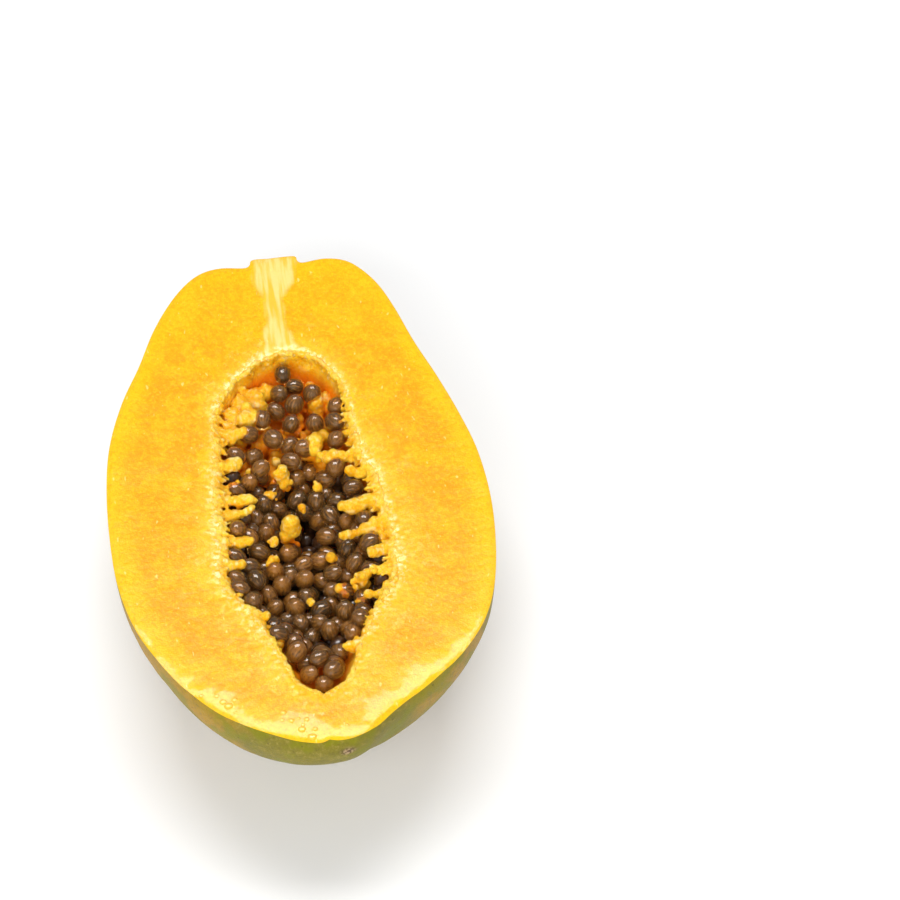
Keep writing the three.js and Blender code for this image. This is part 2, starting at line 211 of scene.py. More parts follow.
# Drops of juice on the cut face: across, along, radius.
JUICE_DROPS = [
    [-34.6, -83.9, 0.9], [-32.8, -86.5, 1.2], [-31.1, -88.3, 1.5], [-29, -86.2, 0.9],
    [-39.6, -83.2, 0.8], [-29.1, -91.2, 0.7], [-13.8, -93.4, 1], [-11.5, -96.8, 1],
    [-9.3, -96.2, 0.8], [-6.6, -96.9, 1], [-14.5, -96.2, 0.8], [-8.5, -100.3, 1.3],
    [-4.3, -100.8, 0.9], [-5.5, -103.4, 1.5], [-7.9, -98.8, 0.7], [17.1, -97.4, 0.6],
    [6, -100.7, 0.7],
]
DROP_SHAPE = (1, 0.85, 0.36)
DROP_SIDES, DROP_LEVELS = 16, 8
DROP_WAVE = [0.08, 1, 51]

# Soft masses of pulp at the stem end: across, along, up, radius.
PULP_HEAPS = [
    [-6, 50.5, -10, 3.4], [-10.5, 47.5, -9.2, 4], [-15.5, 44, -8.2, 4.4],
    [-11, 41.5, -10.5, 3.8], [-19, 38.5, -7.4, 4.2], [-14.5, 37, -9.5, 3.8],
    [-21, 32, -6.4, 3.4], [-17.5, 31, -9, 3.2], [14.5, 46, -11, 2.8], [17, 41, -10, 2.6],
    [9, 26, -8.6, 2.6], [12, 28, -9.2, 2.4],
]
HEAP_CRUMBS = 14
HEAP_UNDER = 0.8

# Small bits of pulp lying between the seeds: across, along, up, size.
PULP_BITS = [
    [-9.9, -17.6, -6.6, 2.6], [8.7, -25.5, -8, 2.8], [-0.1, -44.4, -6.6, 2],
    [10.1, -39.5, -7.2, 2.6], [-11.1, -24.5, -7.6, 2.6], [-12.2, -62, -3.6, 2.4],
    [-18, -49.4, -4, 2.2], [1, -3.6, -7.4, 2.2], [7.3, 4.4, -7, 2.6], [-9.3, 3, -7, 2.6],
    [-15.4, -56, -3.8, 2], [16.5, -46, -7.5, 2.3],
]
# Bits scattered between the seeds, at depths where no seed covers them
BITS_BETWEEN = 60
BITS_FIELD = {"x": (-25, 26), "y": (-32, 12)}
BITS_LOWEST, BITS_HIGHEST = -11, -5
# A bed of pulp under the single seeds at the stem end
BED_BITS, BED_START, BED_END, BED_HEIGHT, BED_WIDTH = 70, 12, 52, -14, 0.85
# The torn fringe along the cavity's edge, plainer at both ends: the share of its full length,
# crumbs for each fibre, and how far inwards the crumbs reach.
FRINGE_ROWS = 300
FRINGE_STEPS = 8
FRINGE_FULL = (1, 5, -1)
FRINGE_HALF = (0.5, 5, -1)
FRINGE_STEM_END = (0.15, 2, 0.1)
FRINGE_TIP = (0.2, 2, 0.1)
FULL_FROM, FULL_TO, BARE_END, TIP_END = -46, 38, 44, -60
FIBRE_LENGTH, FIBRE_THICK, FIBRE_DEPTH = (1.2, 5), (0.45, 0.85), (0.5, 4.5)
CRUMB_SIZE, CRUMB_REACH, CRUMB_SUNK = (0.35, 0.75), 1.5, (0.2, 0.75)
# Balls of pulp, melted together: where the random numbers start, the balls' sides, distance along
# a strand, straying and sizes, the voxels, and the grain of the surface: height, swing, start.
PULP_START = 4
BALL_SIDES, BALL_LEVELS = 10, 6
BALL_STEP, BALL_STRAY, BALL_SIZES = 0.12, 0.42, (0.6, 1.12)
VOXEL, SMOOTHINGS = 0.36, 5
PULP_GRAIN = [
    [0.16, 1.7, 41], [0.1, 0.85, 43],
]
PULP_TOP = 0.3
PULP_TRIANGLES = 190000
UNDER_FACE = 0.45

# Seeds at the stem end of the cavity, one by one, on the bare wall and the pulp.
TOP_SEEDS = [
    [0.3, 55.2, -6], [4, 49.8, -7], [-1.9, 46.1, -5.5], [9.6, 44.7, -6], [3, 41.2, -6.5],
    [-3.5, 40.1, -8], [-9, 34.4, -4.5], [17.6, 37.4, -5], [16.2, 30.4, -5], [1, 33.7, -8],
    [9.4, 32.2, -7.5], [-14.1, 28.5, -5], [-5.9, 25.8, -5.5], [15.8, 22.3, -5],
    [-0.5, 24.3, -8.5], [4.5, 19.8, -4.8], [-19.3, 19.4, -5], [-13, 20.2, -7.5],
    [-0.8, 15, -5.5], [14.2, 10.4, -5], [-11.6, 12.6, -5],
]
TOP_START = 19
TOP_APART = 5.3

# Gaps in the heap of seeds: across, along and reach.
GAPS = [
    [2.2, -13.5, 4.4], [1.8, -60.5, 3.4], [2.8, -34.3, 3],
]

# Kernels and jelly: the kernel's share of the seed, its ridges, heights of ridges and roughness,
# how much seeds differ in size, the fineness of each shape, and the colours; the buried seeds'
# colours are darker, as painted shade.
KERNEL_SHARE = 0.68
BURIED_SHARE = 0.95
KERNEL_RIDGES = 11
RIDGE_WAVE, KERNEL_ROUGH, JELLY_ROUGH = 0.035, 0.04, 0.03
SIZE_LEAST, SIZE_SPREAD = 0.94, 0.14
KERNEL_SIDES, KERNEL_LEVELS = 32, 20
DEEP_SIDES, DEEP_LEVELS = 14, 9
JELLY_SIDES, JELLY_LEVELS = 24, 14
SEED_DARK, SEED_LIGHT = (58, 36, 16), (174, 136, 78)
DEEP_SHADED_DARK, DEEP_SHADED_LIGHT = (36, 19, 8), (70, 42, 21)

# The camera, at the photograph's angle to the cut face
CAMERA_FROM_FACE = (-41.27, -722.56, 900)
CAMERA_AZIMUTH = math.radians(-7.399)
CAMERA_ELEVATION = math.radians(50.636)
CAMERA_LENS = 135.29
CAMERA_SENSOR = 36

# The studio: a pale floor, lights by place, size and power, and the room's own light
FLOOR_SIZE = 6
FLOOR_GREY = 0.93
ROOM_LIGHT = 0.28
KEY_PLACE, KEY_SIZE, KEY_WATTS = (0.03, 0.4, 1.33), (1.05, 0.5), 13.5
FILL_PLACE, FILL_SIZE, FILL_WATTS = (-0.35, -1.3, 0.95), (1.6, 1.1), 26

# The noise that uneven surfaces are made of
NOISE_STEP = 17.31
HASH_X, HASH_Y, HASH_Z, HASH_MIX = 374761393, 668265263, 2246822519, 1274126177
LOW_BITS = 0xFFFFFFFF


def in_frame(points):
    """Points in millimetres from the middle of the cut face, in the frame's metres."""
    return (np.asarray(points, float) + (0, -LENGTH_MIDDLE, FACE_HEIGHT)) * MM


def value_noise(points, swing, start):
    """Smooth noise from -1 to 1 that swings about once in a given number of millimetres."""
    place = np.asarray(points, float) / swing + start * NOISE_STEP
    cell = np.floor(place)
    share = place - cell
    share = share ** 3 * (share * (share * 6 - 15) + 10)
    cell = cell.astype(np.int64)
    total = np.zeros(len(place))
    for corner in range(8):
        step = np.array([corner & 1, corner >> 1 & 1, corner >> 2 & 1])
        at = (cell + step).astype(np.uint64)
        with np.errstate(over="ignore"):
            mixed = at[:, 0] * np.uint64(HASH_X) + at[:, 1] * np.uint64(HASH_Y)
            mixed = (mixed + at[:, 2] * np.uint64(HASH_Z)) & np.uint64(LOW_BITS)
            mixed = (mixed ^ (mixed >> np.uint64(13))) * np.uint64(HASH_MIX)
            mixed = (mixed ^ (mixed >> np.uint64(16))) & np.uint64(LOW_BITS)
        value = mixed.astype(float) / 2 ** 31 - 1
        total += value * np.prod(np.where(step, share, 1 - share), axis=1)
    return total


def wave(points, height, swing, start):
    """Noise of a given height, as a table's row states it."""
    return height * value_noise(points, swing, start)


def noise_vectors(points, swing, start):
    """Three kinds of noise for each point, one along each axis."""
    return np.stack([value_noise(points, swing, start + k) for k in (1, 2, 3)], axis=1)


def row_values(rows, at):
    """All columns of a table at fractional rows, on Catmull-Rom curves through the rows."""
    at = np.asarray(at, float)
    i = np.minimum(np.floor(at).astype(int), len(rows) - 2)
    f = (at - i)[:, None]
    a, b, c, d = (rows[np.clip(i + k, 0, len(rows) - 1)] for k in (-1, 0, 1, 2))
    return b + 0.5 * f * (c - a + f * (2 * a - 5 * b + 4 * c - d + f * (3 * (b - c) + d - a)))


def spans_at(rows, at):
    """Place along, half-width and middle of an outline at fractional rows."""
    y, left, right = row_values(rows, at).T
    left, right = np.maximum(left, 0), np.maximum(right, 0)
    return y, (left + right) / 2, (right - left) / 2


def even_rows(rows, count):
    """Fractional rows that part an outline into steps of equal length."""
    at = np.linspace(0, len(rows) - 1, OUTLINE_SAMPLES)
    y, half, middle = spans_at(rows, at)
    gone = 0
    for side in (-1, 1):
        step = np.hypot(np.diff(y), np.diff(middle + side * half))
        gone = gone + np.concatenate([[0], np.cumsum(step)])
    return np.interp(np.linspace(0, gone[-1], count + 1), gone, at)


def span_near(rows, y):
    """Half-width and middle at a place along, on straight lines between the rows."""
    for high, low in zip(rows, rows[1:]):
        if low[0] < y <= high[0]:
            f = (high[0] - y) / (high[0] - low[0])
            left = high[1] + f * (low[1] - high[1])
            right = high[2] + f * (low[2] - high[2])
            return (left + right) / 2, (right - left) / 2
    return 0.0, 0.0


def outside(radius, angle, y):
    """The outside of the fruit, five-lobed, with the blossom end bulging below the face."""
    turn = LOBES * angle + LOBE_TURN + y * LOBE_TWIST
    lobed = radius * (1 + LOBE_DEPTH * np.sin(angle) * np.cos(turn))
    z = -lobed * np.sin(angle) * (1 + DEPTH_GROWTH * y)
    near_end = np.clip((y - BULGE_START) / (BULGE_FULL - BULGE_START), 0, 1)
    bulge = BULGE_REACH * near_end * (1 - np.exp(np.minimum(z, 0) / BULGE_FALL))
    return np.stack([lobed * np.cos(angle), y - bulge, z], axis=-1)


def cavity_wall(radius, angle, y):
    """The wall of the cavity, with its five ridges."""
    ridged = radius * (1 + RIDGE_DEPTH * np.sin(angle) * np.cos(RIDGES * angle + RIDGE_TURN))
    down = -ridged * np.sin(angle) * CAVITY_DEPTH
    return np.stack([ridged * np.cos(angle), y + 0 * angle, down], axis=-1)


def turned_grid(rows, sides, place):
    """Points of the lower half of a body turned from an outline: rows along, angles round."""
    y, half, middle = (v[:, None] for v in spans_at(rows, even_rows(rows, ROWS)))
    half[0] = half[-1] = 0
    share = np.linspace(0, 1, sides + 1)[None, :]
    angle = math.pi * share - RIM_FINER * np.sin(2 * math.pi * share) / 2
    grid = place(half, angle, y)
    grid[..., 0] += middle
    return grid


def rim_loop(grid):
    """The grid's edge on the cut face, from the stem end down the right and up the left."""
    return np.concatenate([grid[:, 0], grid[-2:0:-1, -1]])


def grid_faces(down, across, wrap=False):
    """Corner numbers of the squares of a grid of down by across points."""
    i, j = np.meshgrid(np.arange(down - 1), np.arange(across if wrap else across - 1), indexing="ij")
    i, j = i.ravel(), j.ravel()
    k = (j + 1) % across
    here, below = i * across, (i + 1) * across
    return np.stack([here + j, below + j, below + k, here + k], axis=1)


def add_value(mesh, key, values):
    """Lets a mesh hold a number at each point."""
    attribute = mesh.attributes.new(key, "FLOAT", "POINT")
    attribute.data.foreach_set("value", np.asarray(values, np.float32))


def make_object(name, points, faces, materials, face_material=None, floats=None, sharp=None):
    """A smooth-shaded mesh object from points in millimetres round the cut face's middle."""
    mesh = bpy.data.meshes.new(name)
    mesh.from_pydata(in_frame(points).tolist(), [], [list(f) for f in faces])
    for material in materials:
        mesh.materials.append(material)
    if face_material is not None:
        mesh.polygons.foreach_set("material_index", face_material)
    for key, values in (floats or {}).items():
        add_value(mesh, key, values)
    mesh.validate()
    mesh.shade_smooth()
    if sharp:
        mesh.set_sharp_from_angle(angle=math.radians(sharp))
    obj = bpy.data.objects.new(name, mesh)
    bpy.context.scene.collection.objects.link(obj)
    return obj


def finish_piece(obj, node):
    """Makes a piece move with the fruit and stand for a solid, whose own part is hidden."""
    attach(obj, "root")
    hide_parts(node)


# Node trees

class Tree:
    """Short ways to add shader nodes to one material."""

    def __init__(self, name):
        self.material = bpy.data.materials.new(name)
        self.material.use_nodes = True
        self.nodes = self.material.node_tree.nodes
        self.links = self.material.node_tree.links
        self.shader = self.nodes["Principled BSDF"]

    def put(self, socket, value):
        if isinstance(value, bpy.types.NodeSocket):
            self.links.new(value, socket)
        else:
            socket.default_value = value

    def add(self, kind, inputs=(), **settings):
        node = self.nodes.new(kind)
        for key, value in settings.items():
            setattr(node, key, value)
        for key, value in dict(inputs).items():
            self.put(node.inputs[key], value)
        return node

    def set(self, **inputs):
        """Sets the shader's own sockets, by their names with _ for a space."""
        for key, value in inputs.items():
            self.put(self.shader.inputs[key.replace("_", " ")], value)

    def place(self, stretch=(1, 1, 1)):
        """The place in the row frame in millimetres, stretched by a factor along each axis."""
        coordinates = self.add("ShaderNodeTexCoord").outputs["Object"]
        scale = tuple(1000 * s for s in stretch)
        return self.add("ShaderNodeMapping", {"Vector": coordinates, "Scale": scale}).outputs[0]

    def value(self, name):
        """A value that the mesh holds at each point."""
        return self.add("ShaderNodeAttribute", attribute_name=name).outputs["Fac"]

    def axis(self, vector, number):
        return self.add("ShaderNodeSeparateXYZ", {0: vector}).outputs[number]

    def noise(self, vector, swing, detail=2.0, rough=0.5):
        """Noise from 0 to 1 that swings about once in a given number of millimetres."""
        inputs = {"Vector": vector, "Scale": 1 / swing, "Detail": detail, "Roughness": rough}
        return self.add("ShaderNodeTexNoise", inputs).outputs["Fac"]

    def math(self, operation, a, b):
        return self.add("ShaderNodeMath", {0: a, 1: b}, operation=operation).outputs[0]

    def plus(self, a, b):
        return self.math("ADD", a, b)

    def minus(self, a, b):
        return self.math("SUBTRACT", a, b)

    def times(self, a, b):
        return self.math("MULTIPLY", a, b)

    def span(self, value, low, high, to_low=0.0, to_high=1.0):
        """A value's place between two limits, smoothed and clamped."""
        node = self.add("ShaderNodeMapRange", interpolation_type="SMOOTHSTEP")
        for socket, number in zip(node.inputs, (value, low, high, to_low, to_high)):
            self.put(socket, number)
        return node.outputs[0]

    def mix(self, share, a, b):
        inputs = {0: share, 6: a, 7: b}
        return self.add("ShaderNodeMix", inputs, data_type="RGBA").outputs[2]

    def bump(self, height, depth):
        """A relief of a given depth in millimetres."""
        inputs = {"Height": height, "Distance": depth * MM, "Strength": 1.0}
        return self.add("ShaderNodeBump", inputs).outputs["Normal"]


def colour(red, green, blue):
    """A colour given as it looks on a screen, from 0 to 255, as linear light."""
    def linear(v):
        v /= 255
        return v / 12.92 if v <= 0.04045 else ((v + 0.055) / 1.055) ** 2.4
    return (linear(red), linear(green), linear(blue), 1.0)


def flesh_ground(t, place, wander):
    """Lemon next to the skin, orange further in, clouded, and paler towards the cavity."""
    lemon, orange, shoulder = colour(252, 190, 0), colour(252, 160, 0), colour(252, 182, 0)
    cloudy, paler = colour(253, 192, 10), colour(253, 200, 52)
    rim = t.plus(t.value("rim"), t.times(wander, 9))
    body = t.mix(t.span(rim, 1, 12), lemon, orange)
    body = t.mix(t.span(t.axis(place, 1), 52, 84, 0, 0.55), body, shoulder)
    cloud = t.span(t.noise(place, 13, 6, 0.7), 0.45, 0.64)
    body = t.mix(t.times(cloud, 0.6), body, cloudy)
    hole = t.plus(t.value("hole"), t.times(wander, 22))
    return t.mix(t.span(hole, 13, 0.5, 0, 0.62), body, paler)


def flesh_grain(t, place, body, streaks):
    """Pale patches near the cavity, streaks that run out from it, and fine grain."""
    pale, streak = colour(254, 216, 100), colour(254, 206, 30)
    light_grain, dark_grain = colour(254, 206, 26), colour(250, 138, 0)
    patches = t.span(t.noise(place, 5, 5, 0.75), 0.53, 0.64)
    patches = t.times(patches, t.span(t.value("hole"), 20, 4))
    body = t.mix(t.times(patches, 0.65), body, pale)
    body = t.mix(t.span(streaks, 0.52, 0.7, 0, 0.3), body, streak)
    grain = t.noise(place, 1.3, 5, 0.85)
    body = t.mix(t.span(grain, 0.51, 0.6, 0, 0.5), body, light_grain)
    return t.mix(t.span(grain, 0.49, 0.38, 0, 0.45), body, dark_grain)


def flesh_borders(t, place, body, wander):
    """A cream border round the cavity, the fibrous core, flecks and a line under the skin."""
    pits = t.span(t.noise(place, 1.5, 3, 0.7), 0.43, 0.56)
    cream = t.mix(pits, colour(253, 180, 34), colour(255, 226, 150))
    border = t.plus(t.value("hole"), t.times(t.noise(place, 2.4, 4, 0.75), 12))
    border = t.plus(border, t.span(t.axis(place, 1), -58, -74, 0, 2.2))
    body = t.mix(t.span(border, 10.6, 6.6, 0, 0.85), body, cream)
    fibres = t.noise(t.place((0.6, 0.05, 1)), 1.0, 3)
    core = t.mix(t.span(fibres, 0.36, 0.6), colour(252, 192, 60), colour(253, 216, 130))
    body = t.mix(t.times(t.value("core"), 0.92), body, core)
    flecks = t.noise(t.place((1, 0.45, 1)), 1.5, 1)
    body = t.mix(t.span(flecks, 0.71, 0.77, 0, 0.55), body, colour(255, 232, 130))
    rim = t.plus(t.value("rim"), t.times(wander, 1.2))
    return t.mix(t.span(rim, 0.7, 0.2, 0, 0.45), body, colour(204, 178, 16))


def flesh_material():
    """The wet cut face, with a faint relief."""
    t = Tree("papaya_flesh")
    place = t.place()
    wander = t.minus(t.noise(place, 14, 3), 0.5)
    streak_at = t.add("ShaderNodeCombineXYZ")
    t.put(streak_at.inputs[0], t.value("around"))
    t.put(streak_at.inputs[1], t.times(t.value("hole"), 0.4))
    streaks = t.noise(streak_at.outputs[0], 2.4, 5, 0.7)
    body = flesh_ground(t, place, wander)
    body = flesh_grain(t, place, body, streaks)
    body = flesh_borders(t, place, body, wander)
    t.set(Base_Color=body, Roughness=0.2, IOR=1.34, Subsurface_Weight=0.1)
    t.set(Subsurface_Radius=(1.0, 0.5, 0.12), Subsurface_Scale=2.0 * MM)
    t.set(Coat_Weight=0.5, Coat_Roughness=0.07, Coat_IOR=1.45)
    relief = t.plus(t.noise(place, 1.3, 5, 0.7), t.times(streaks, 0.6))
    relief = t.plus(relief, t.times(t.noise(place, 9, 2), 2.0))
    t.set(Normal=t.bump(relief, 0.13))
    return t.material


def pulp_material():
    """The torn wall of the cavity and the strands that carry the seeds."""
    t = Tree("papaya_pulp")
    place = t.place()
    crest, hole, grains = t.value("crest"), t.value("hole"), t.noise(place, 1.1, 4, 0.8)
    golden, yellow, straw = colour(255, 186, 10), colour(255, 210, 46), colour(255, 226, 112)
    body = t.mix(t.span(t.noise(place, 5, 3), 0.35, 0.65), golden, yellow)
    body = t.mix(t.span(grains, 0.5, 0.64, 0, 0.6), body, straw)
    body = t.mix(t.span(grains, 0.47, 0.36, 0, 0.5), body, colour(252, 140, 0))
    # Painted highlight and painted shade: where crest follows the grain's height, as on the pulp,
    # its tops are painted cream and its hollows darker orange; on the fruit's wall crest is plain
    # noise.
    body = t.mix(t.span(crest, 0.58, 0.95, 0, 0.75), body, colour(255, 236, 160))
    body = t.mix(t.span(crest, 0.4, 0.08, 0, 0.7), body, colour(250, 132, 0))
    # Painted shade: the pulp is painted more orange a little below the cut face, and a darker
    # red-orange deep in the cavity.
    shade, depth = colour(255, 160, 0), colour(254, 130, 0)
    body = t.mix(t.span(hole, -0.7, -2.6, 0, 0.28), body, shade)
    body = t.mix(t.span(hole, -4.2, -9, 0, 0.92), body, depth)
    border = t.plus(hole, t.times(t.noise(place, 2.0, 4, 0.75), 3))
    body = t.mix(t.span(border, 0.4, 2.0, 0, 0.65), body, colour(255, 226, 128))
    t.set(Base_Color=body, Roughness=0.3, IOR=1.36, Subsurface_Weight=0.18)
    t.set(Subsurface_Radius=(1.0, 0.6, 0.15), Subsurface_Scale=1.4 * MM)
    t.set(Coat_Weight=0.3, Coat_Roughness=0.1, Coat_IOR=1.33)
    t.set(Normal=t.bump(t.plus(grains, t.noise(place, 0.5, 2)), 0.5))
    return t.material


def skin_ground(t, place):
    """Green turning golden in long patches, with a pale bloom low at the blossom end."""
    across, long_place = t.axis(place, 0), t.place((1, 0.45, 1))
    green, golden, fresh_green = colour(124, 114, 36), colour(174, 132, 24), colour(112, 108, 30)
    ripe = t.plus(t.noise(long_place, 34, 4, 0.55), t.span(across, -8, -48, 0, 0.3))
    ripe = t.plus(ripe, t.span(across, 22, 40, 0, 0.26))
    ripe = t.minus(ripe, t.span(t.axis(place, 1), -88, -102, 0, 0.34))
    body = t.mix(t.span(ripe, 0.34, 0.74), green, golden)
    fresh = t.span(t.noise(long_place, 19, 5, 0.65), 0.38, 0.78)
    body = t.mix(t.times(fresh, 0.5), body, fresh_green)
    bloom = t.span(t.noise(place, 18, 4, 0.6), 0.36, 0.6, 0.1, 0.8)
    low = t.times(t.span(t.axis(place, 2), -3, -14), t.span(across, 34, 14, 0.0, 1))
    return t.mix(t.times(bloom, low), body, colour(128, 124, 74))


def skin_marks(t, place, body, mottle, dots):
    """Fine mottling, a greener line in places under the cut, specks and grit."""
    body = t.mix(t.span(mottle, 0.52, 0.64, 0, 0.5), body, colour(166, 150, 80))
    body = t.mix(t.span(mottle, 0.48, 0.37, 0, 0.55), body, colour(92, 84, 26))
    edge_height = t.plus(t.axis(place, 2), t.times(t.noise(place, 4, 3), 3))
    in_places = t.span(t.noise(place, 9, 3), 0.46, 0.6)
    edge = t.times(t.span(edge_height, -2.4, -1.0), in_places)
    body = t.mix(t.times(edge, 0.65), body, colour(122, 122, 4))
    body = t.mix(t.times(dots, 0.6), body, colour(84, 68, 26))
    return t.mix(t.span(t.noise(place, 0.8, 2, 0.8), 0.6, 0.75, 0, 0.35), body, colour(76, 74, 30))


def skin_ends(t, place, body):
    """The pale cut of the stem and the corky scar at the blossom end."""
    bark_grain = t.span(t.noise(place, 2.6, 4), 0.4, 0.62)
    bark = t.mix(bark_grain, colour(186, 176, 40), colour(226, 208, 100))
    body = t.mix(t.value("stub"), body, bark)
    scab_grain = t.span(t.noise(place, 1.1, 4), 0.42, 0.6)
    scab = t.mix(scab_grain, colour(86, 62, 44), colour(170, 144, 106))
    return t.mix(t.value("scar"), body, scab)


def skin_material():
    """Thin waxy skin with a faint relief."""
    t = Tree("papaya_skin")
    place = t.place()
    mottle = t.noise(place, 1.8, 5, 0.8)
    specks = t.add("ShaderNodeTexVoronoi", {"Vector": place, "Scale": 1 / 4.2, "Randomness": 1.0})
    dots = t.span(specks.outputs["Distance"], 0.13, 0.05)
    body = skin_ground(t, place)
    body = skin_marks(t, place, body, mottle, dots)
    body = skin_ends(t, place, body)
    t.set(Base_Color=body, Roughness=t.span(mottle, 0.3, 0.7, 0.44, 0.6), IOR=1.32)
    t.set(Subsurface_Weight=0.08, Subsurface_Radius=(1.0, 0.8, 0.2), Subsurface_Scale=1.5 * MM)
    relief = t.plus(t.times(t.noise(place, 7, 3), 1.2), mottle)
    relief = t.minus(relief, t.times(dots, 0.3))
    t.set(Normal=t.bump(relief, 0.35))
    return t.material


def scaled(shade, factor):
    """A colour as it looks on a screen, made lighter or darker by a factor."""
    return colour(*(factor * v for v in shade))


def kernel_material(name, dark, light, wet):
    """The ridged seed: seen through its jelly, or wet itself where it lies deep."""
    t = Tree(name)
    place, ridge = t.place(), t.value("ridge")
    body = t.mix(t.value("tone"), colour(*dark), colour(*light))
    # Painted highlight and painted shade: the raised ridges are painted lighter and the grooves
    # between them darker.
    body = t.mix(t.span(ridge, 0.5, 0.95, 0, 0.5), body, scaled(light, 1.25))
    body = t.mix(t.span(ridge, 0.35, 0.08, 0, 0.8), body, scaled(dark, 0.5))
    body = t.mix(t.span(t.noise(place, 0.9, 3), 0.5, 0.72, 0, 0.35), body, scaled(dark, 0.55))
    t.set(Base_Color=body, Roughness=0.34, IOR=1.4)
    if wet:
        t.set(Coat_Weight=1.0, Coat_Roughness=0.12, Coat_IOR=1.6)
    t.set(Normal=t.bump(t.noise(place, 0.5, 3), 0.1))
    return t.material


def jelly_material():
    """The clear wet jelly round a seed, amber and very glossy."""
    t = Tree("seed_jelly")
    t.set(Base_Color=(1.0, 0.62, 0.2, 1), Roughness=0.13, IOR=1.34, Transmission_Weight=0.965)
    t.set(Coat_Weight=0.9, Coat_Roughness=0.11, Coat_IOR=1.6)
    return t.material


def juice_material():
    """Glossy drops of juice on the flesh."""
    t = Tree("juice")
    body = t.mix(t.noise(t.place(), 2.0, 2), colour(252, 178, 10), colour(254, 214, 90))
    t.set(Base_Color=body, Roughness=0.05, IOR=1.4)
    t.set(Coat_Weight=1.0, Coat_Roughness=0.03, Coat_IOR=1.5)
    return t.material


# The fruit

def core_share(points):
    """How much a point of the cut face belongs to the pale core between stem and cavity."""
    x, y = points[:, 0], points[:, 1]
    low = np.interp(y, CORE[:, 0], CORE[:, 1])
    high = np.interp(y, CORE[:, 0], CORE[:, 2])
    wobble = CORE_WAVE * value_noise(points, CORE_WAVE_SWING, 5)
    inside = np.minimum(x - low, high - x) + wobble
    past_start = np.clip((y - CORE_START) / CORE_START_FADE, 0, 1)
    return np.clip(inside / CORE_FADE + 0.2, 0, 1) * past_start


def fruit_surface():
    """Points, faces, materials and values of the whole closed surface of the half fruit."""
    skin = turned_grid(OUTLINE, SKIN_SIDES, outside)
    wall = turned_grid(CAVITY, WALL_SIDES, cavity_wall)
    outer, inner = rim_loop(skin), rim_loop(wall)
    share = (np.linspace(0, 1, FACE_RINGS + 1) ** RINGS_CLOSER)[:, None, None]
    face = inner[None] + share * (outer - inner)[None]
    width = np.linalg.norm(outer - inner, axis=1)
    middle_loop = (outer + inner) / 2
    step = np.linalg.norm(np.diff(middle_loop, axis=0, append=middle_loop[:1]), axis=1)
    around = np.concatenate([[0], np.cumsum(step)[:-1]])

    parts = [skin, face, wall]
    points = np.concatenate([p.reshape(-1, 3) for p in parts])
    starts = np.cumsum([0] + [p.shape[0] * p.shape[1] for p in parts])
    faces = [
        grid_faces(skin.shape[0], skin.shape[1]),
        grid_faces(face.shape[0], face.shape[1], wrap=True) + starts[1],
        grid_faces(wall.shape[0], wall.shape[1]) + starts[2],
    ]
    kinds = np.concatenate([np.full(len(f), k) for k, f in enumerate(faces)])
    faces = np.concatenate(faces)
    on_skin, on_wall = np.ones(skin[..., 0].size), np.ones(wall[..., 0].size)
    flat_share = share[:, :, 0] * np.ones(len(outer))
    values = {
        "rim": [0 * on_skin, ((1 - flat_share) * width).ravel(), AWAY * on_wall],
        "hole": [AWAY * on_skin, (flat_share * width).ravel(), wall[..., 2].ravel()],
        "around": [0 * on_skin, (np.ones_like(flat_share) * around).ravel(), 0 * on_wall],
    }
    values = {key: np.concatenate(v) for key, v in values.items()}
    return points, faces, kinds, values


def welded(points, faces, kinds, values):
    """Joins points that coincide and drops faces that shrink to a line."""
    keys = np.round(points, 4)
    _, first, number = np.unique(keys, axis=0, return_index=True, return_inverse=True)
    number = number.ravel()
    kept, kept_kinds = [], []
    for face, kind in zip(number[faces].tolist(), kinds.tolist()):
        corners = list(dict.fromkeys(face))
        if len(corners) > 2:
            kept.append(corners)
            kept_kinds.append(kind)
    return points[first], kept, kept_kinds, {k: v[first] for k, v in values.items()}


def torn_shift(points):
    """How far torn pulp stands from the smooth wall, less so in the bare stem end and the tip."""
    y = points[:, 1][:, None]
    bare = np.clip((y - BARE_START) / BARE_FADE, 0, 1)
    calm = 1 - CALM_SHARE * np.clip((CALM_START - y) / CALM_FADE, 0, 1)
    shift = 0
    for swing, height, less, start in TEARS:
        shift = shift + (1 - less * bare) * height * noise_vectors(points, swing, start)
    return calm * shift * (1, 1, TEARS_UP)


def edge_drop(points, rim):
    """How far the cut face lies below its plane: dips, and a shore round the blossom end."""
    x, y = points[:, 0], points[:, 1]
    flat = points * (1, 1, 0)
    drop = sum(depth * np.exp(-rim / reach) for depth, reach in RIM_DROPS)
    shore = np.clip((SHORE_START - y) / (SHORE_START - SHORE_FULL), 0, 1)
    patchy = np.clip(1 + wave(flat, *SHORE_PATCHES), 0, 2)
    drop += SHORE_DROP * shore * patchy * np.clip(1 - rim / SHORE_WIDE, 0, 1) ** 2
    near_rim = np.exp(-rim / RIPPLE_REACH)
    for row in RIPPLES:
        drop += shore * near_rim * wave(flat, *row)
    for dip_x, dip_y, reach, depth in DIPS:
        drop += depth * np.exp(-((x - dip_x) ** 2 + (y - dip_y) ** 2) / reach ** 2)
    return drop


def edge_round(hole):
    """How far the cut face sinks towards the cavity's edge."""
    sunk_here = EDGE_SINK * np.exp(-np.maximum(hole, 0) / EDGE_REACH)
    return np.where(hole > NEAR_ENOUGH, 0, sunk_here)


def roughen_face(moved, points, hole, rim):
    """A faintly uneven cut with its dips, grainy and sunk next to the cavity."""
    on_face = (np.abs(points[:, 2]) < 1e-6) & (hole > 0)
    face, face_hole = points[on_face], hole[on_face]
    grainy = np.exp(-face_hole / GRAIN_REACH)
    grainy[face_hole > NEAR_ENOUGH] = 0
    moved[on_face, 2] += wave(face, *FACE_WAVES) - edge_drop(face, rim[on_face])
    moved[on_face, 2] += grainy * wave(face, *FACE_GRAIN)
    moved[on_face, 2] -= edge_round(face_hole)
    return on_face


